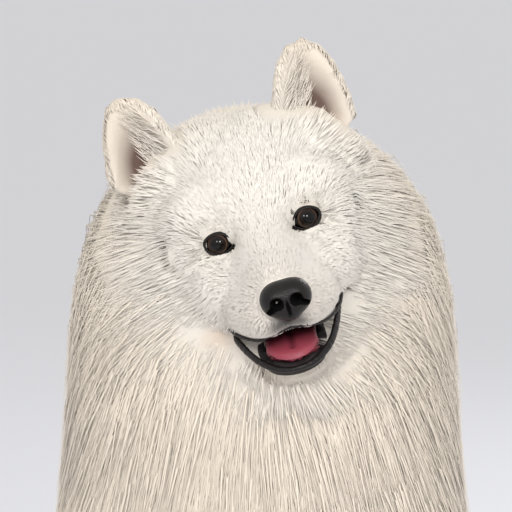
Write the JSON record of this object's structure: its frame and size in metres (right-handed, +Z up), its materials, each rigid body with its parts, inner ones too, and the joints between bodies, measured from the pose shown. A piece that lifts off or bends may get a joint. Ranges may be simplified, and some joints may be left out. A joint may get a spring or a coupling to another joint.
{
  "type": "samoyed dog model",
  "caption": "Life-size still model of a sitting adult Samoyed, white, head tilted to its right, mouth a little open, tail laid on the floor.",
  "frame": {"origin": "centre of the bounding box, on the floor under the sitting dog", "axes": "+Z up; the dog faces -Y; +X towards the dog's left side"},
  "size_m": [0.4396, 0.7552, 0.795],
  "materials": {
    "face_coat": "short dense white hair, soft and matte",
    "body_coat": "long white to cream guard hair over a woolly undercoat, soft and matte",
    "nose_leather": "black pebbled nose skin, moist satin",
    "eyes": "dark brown iris under a clear wet cornea, glossy",
    "tongue": "pink wet tongue, fine grain, satin"
  },
  "bodies": {
    "root": {"eye_left": "eyes", "eye_right": "eyes", "nose": "nose_leather", "tongue": "tongue", "head": "face_coat", "ear_left": "face_coat", "ear_right": "face_coat", "lower_jaw": "face_coat", "neck": "body_coat", "torso": "body_coat", "rump": "body_coat", "forepaw_left": "body_coat", "foreleg_left": "body_coat", "forepaw_right": "body_coat", "foreleg_right": "body_coat", "thigh_left": "body_coat", "hind_foot_left": "body_coat", "thigh_right": "body_coat", "hind_foot_right": "body_coat", "tail_base": "body_coat", "tail_plume": "body_coat"}
  },
  "joints": []
}
